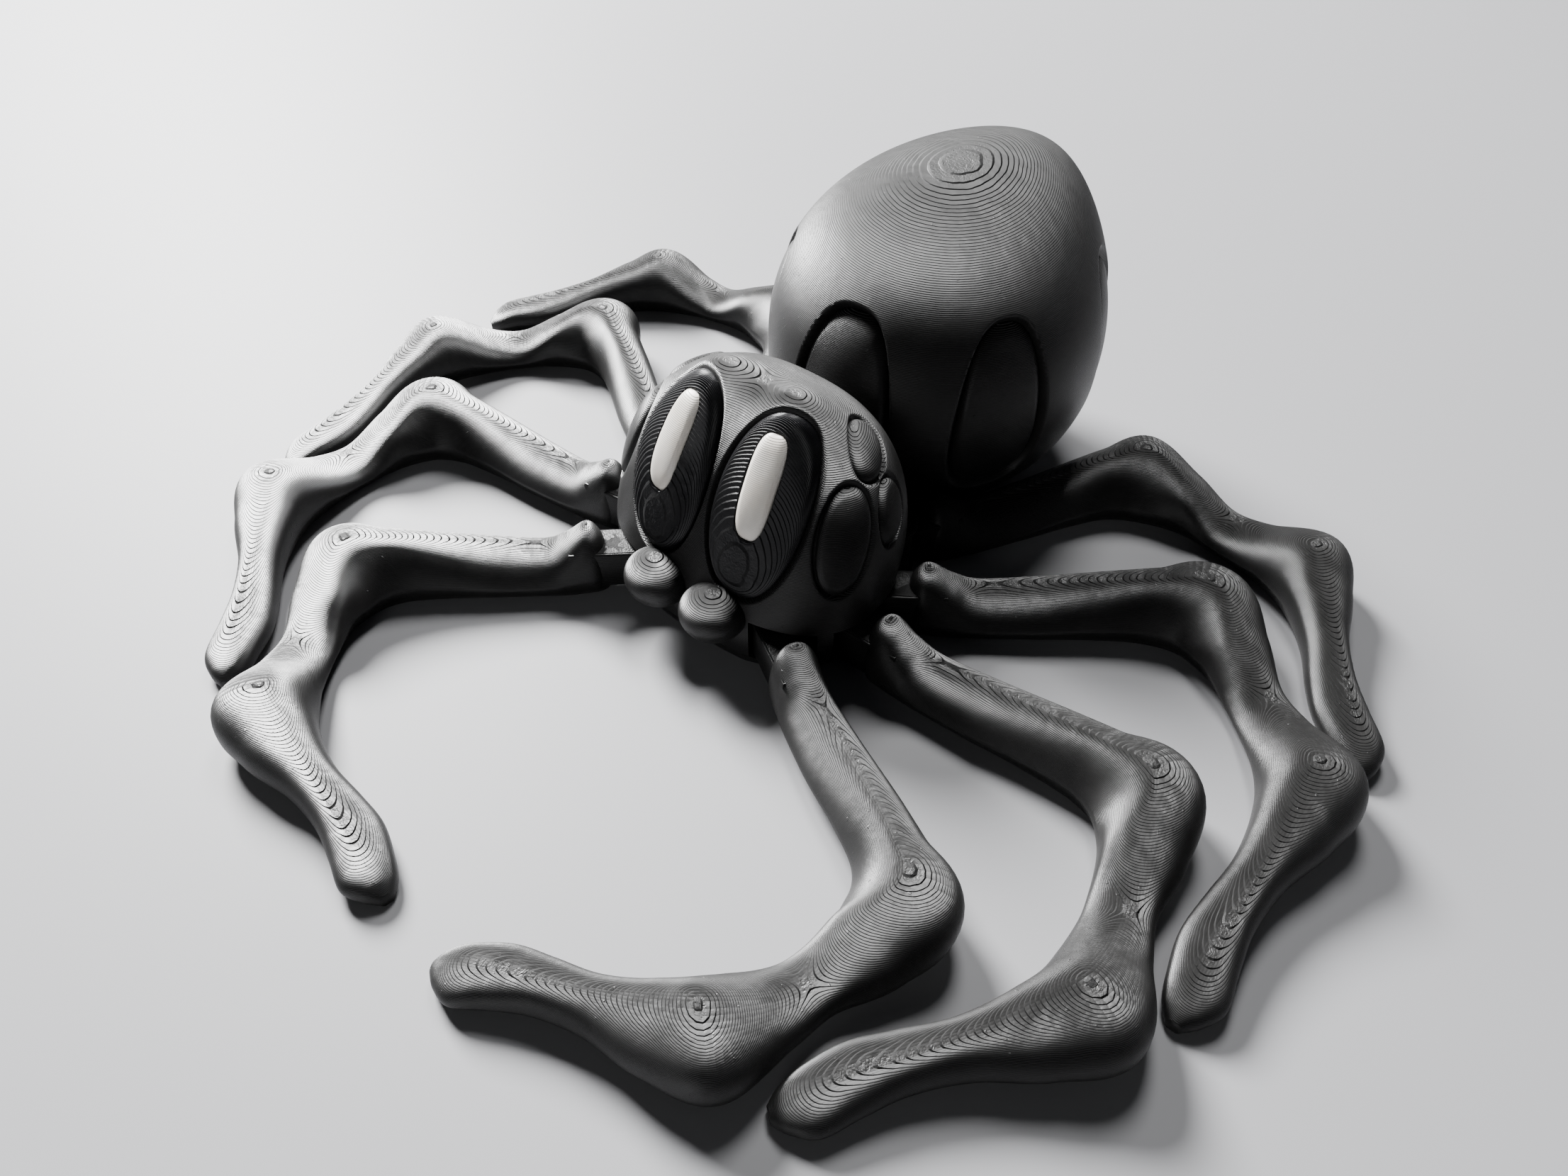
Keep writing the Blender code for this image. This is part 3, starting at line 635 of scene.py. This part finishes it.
# ---------------------------------------------------------------- legs
def leg_keys(scale, first_turn):
    """Section centres along the leg, with each section's widths, height and ridge lean."""
    thigh = REAR_THIGH_LENGTH if first_turn == HIPS[4][3] else THIGH_LENGTH
    bones = {}
    start, heading = np.array((ROOT_LENGTH * scale, 0.0)), 0.0
    for name, length, turn in (
        ("thigh", thigh, first_turn),
        ("shin", SHIN_LENGTH, SECOND_TURN),
        ("foot", FOOT_LENGTH, 0.0),
    ):
        direction = np.array((math.cos(math.radians(heading)), math.sin(math.radians(heading))))
        bones[name] = (start, direction, length * scale)
        start = start + direction * length * scale
        heading += turn
    bends = {"knee_1": ("thigh", "shin"), "knee_2": ("shin", "foot")}
    keys = []
    for bone, along, inset, inner, outer, height, lean in LEG_SECTIONS:
        if bone in bends:
            before, after = (bones[name] for name in bends[bone])
            centre, direction = after[0], unit(before[1] + after[1])
        else:
            start, direction, length = bones[bone]
            centre = start + direction * along * length
        centre = centre + np.array((-direction[1], direction[0])) * inset
        keys.append((*centre, inner, outer, height, lean))
    return np.array(keys)


def smooth_row(keys, t):
    """A point of the smooth curve through the keys, with t counting keys."""
    last = len(keys) - 1
    i = min(int(t), last - 1)
    f = t - i
    a, b, c, d = (keys[min(max(i + k, 0), last)] for k in (-1, 0, 1, 2))
    return 0.5 * (2 * b + (c - a) * f + (2 * a - 5 * b + 4 * c - d) * f * f
                  + (3 * b - a - 3 * c + d) * f**3)


def leg(side, number):
    hip_x, hip_y, scale, turn, left_yaw, right_yaw, _, _ = HIPS[number]
    label = "right" if side > 0 else "left"
    node = f"leg_{label}_{number}"
    yaw = math.radians(-right_yaw if side > 0 else 180 + left_yaw)
    keys = leg_keys(scale, turn)
    last = len(keys) - 1
    stations = last * STATIONS_PER_KEY
    rows, travelled, previous = [], 0.0, None
    for station in range(stations + 1):
        t = last * station / stations
        x, y, inner, outer, height, lean = smooth_row(keys, t)
        ahead, behind = smooth_row(keys, min(t + 0.05, last)), smooth_row(keys, max(t - 0.05, 0))
        along = unit(ahead[:2] - behind[:2])
        here = np.array((x, y))
        travelled += 0.0 if previous is None else float(np.linalg.norm(here - previous))
        previous = here
        pulled = max(0.0, 1 - travelled / ROOT_ROUNDING)
        shrink = ROOT_ROUNDING * (1 - math.sqrt(1 - pulled * pulled))
        inner, outer, height = inner - shrink, outer - shrink, height - shrink
        widest = min(TUCK_SHARE * height, TUCK_HEIGHT)
        tuck = min(TUCK, 0.45 * inner, 0.45 * outer)
        profile = [(inner - tuck, 0.0), (inner - 0.45 * tuck, 0.4 * widest)]
        for i in range(SECTION_SIDES + 1):
            angle = math.pi * i / SECTION_SIDES
            cosine = math.copysign(abs(math.cos(angle)) ** (2 / SECTION_POWER), math.cos(angle))
            sine = max(0.0, math.sin(angle)) ** (2 / SECTION_POWER)
            across = cosine * (inner if cosine > 0 else outer) - lean * sine
            profile.append((across, widest + (height - widest) * sine))
        profile += [(0.45 * tuck - outer, 0.4 * widest), (tuck - outer, 0.0)]
        rows.append([(x - along[1] * u, -side * (y + along[0] * u), z) for u, z in profile])
    count = len(rows[0])
    points = np.array(rows).reshape(-1, 3)
    c, s = math.cos(yaw), math.sin(yaw)
    points[:, :2] = points[:, :2] @ np.array(((c, s), (-s, c))) + (side * hip_x, hip_y)
    faces = strip_faces(len(rows), count)
    faces += [tuple(range(count)), tuple(range((len(rows) - 1) * count, len(rows) * count))]
    make(f"{node}_skin", points, faces, node, CHARCOAL_LEG, [node])
    half = TAB_WIDTH / 2
    tab_end = ROOT_LENGTH * scale + TAB_INTO_LEG
    outline = [(tab_end, -half), (tab_end, half)] + half_circle(half, 90)
    place = Matrix.Translation(Vector((side * hip_x, hip_y, 0)) * MM) @ Matrix.Rotation(yaw, 4, "Z")
    tab(f"{node}_tab", outline, TAB_TOP, node, place)


for leg_side in (-1, 1):
    for leg_number in HIPS:
        leg(leg_side, leg_number)
head_shell()
head_inlays()
fangs()
abdomen()
for node_name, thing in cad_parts.items():
    if node_name.endswith("plate") or "pin" in node_name:
        thing.data.materials.clear()
        thing.data.materials.append(PIN if "pin" in node_name else CHARCOAL)


# ---------------------------------------------------------------- studio
def floor():
    mesh = bpy.data.meshes.new("floor")
    size = 3.0
    mesh.from_pydata([(-size, -size, -2e-5), (size, -size, -2e-5), (size, size, -2e-5),
                      (-size, size, -2e-5)], [], [(0, 1, 2, 3)])
    thing = bpy.data.objects.new("floor", mesh)
    n = Nodes("pale_floor")
    n.shader.inputs["Base Color"].default_value = (0.27, 0.27, 0.28, 1.0)
    n.shader.inputs["Roughness"].default_value = 0.55
    mesh.materials.append(n.material)
    bpy.context.scene.collection.objects.link(thing)


def area_light(name, azimuth, elevation, distance, size, power, aim=(0.0, 0.01, 0.015)):
    data = bpy.data.lights.new(name, "AREA")
    data.shape = "DISK"
    data.size = size
    data.energy = power
    thing = bpy.data.objects.new(name, data)
    a, e = math.radians(azimuth), math.radians(elevation)
    back = Vector((math.sin(a) * math.cos(e), -math.cos(a) * math.cos(e), math.sin(e)))
    thing.location = Vector(aim) + back * distance
    thing.rotation_mode = "QUATERNION"
    thing.rotation_quaternion = (-back).to_track_quat("-Z", "Y")
    bpy.context.scene.collection.objects.link(thing)


floor()
area_light("window", -107, 36, 1.1, 0.42, 76.0)
area_light("overhead", -150, 58, 0.7, 0.22, 4.5)
area_light("fill", 12, 24, 0.9, 0.4, 0.9)
world = bpy.data.worlds.new("studio")
world.use_nodes = True
world.node_tree.nodes["Background"].inputs["Color"].default_value = (0.9, 0.93, 1.0, 1.0)
world.node_tree.nodes["Background"].inputs["Strength"].default_value = 0.035
bpy.context.scene.world = world

camera_data = bpy.data.cameras.new("camera")
camera_data.sensor_width = 36.0
camera_data.lens = 24.72
camera_data.clip_start = 0.005
camera = bpy.data.objects.new("camera", camera_data)
azimuth, elevation, roll = (math.radians(v) for v in (39.255, 46.138, 0.585))
right = Vector((math.cos(azimuth), math.sin(azimuth), 0.0))
back = Vector((math.sin(azimuth) * math.cos(elevation), -math.cos(azimuth) * math.cos(elevation),
               math.sin(elevation)))
up = back.cross(right)
turned_right = math.cos(roll) * right + math.sin(roll) * up
turned_up = math.cos(roll) * up - math.sin(roll) * right
basis = Matrix((turned_right, turned_up, back)).transposed().to_4x4()
camera.matrix_world = Matrix.Translation(Vector((72.13, -83.49, 111.63)) * MM) @ basis
bpy.context.scene.collection.objects.link(camera)
bpy.context.scene.camera = camera
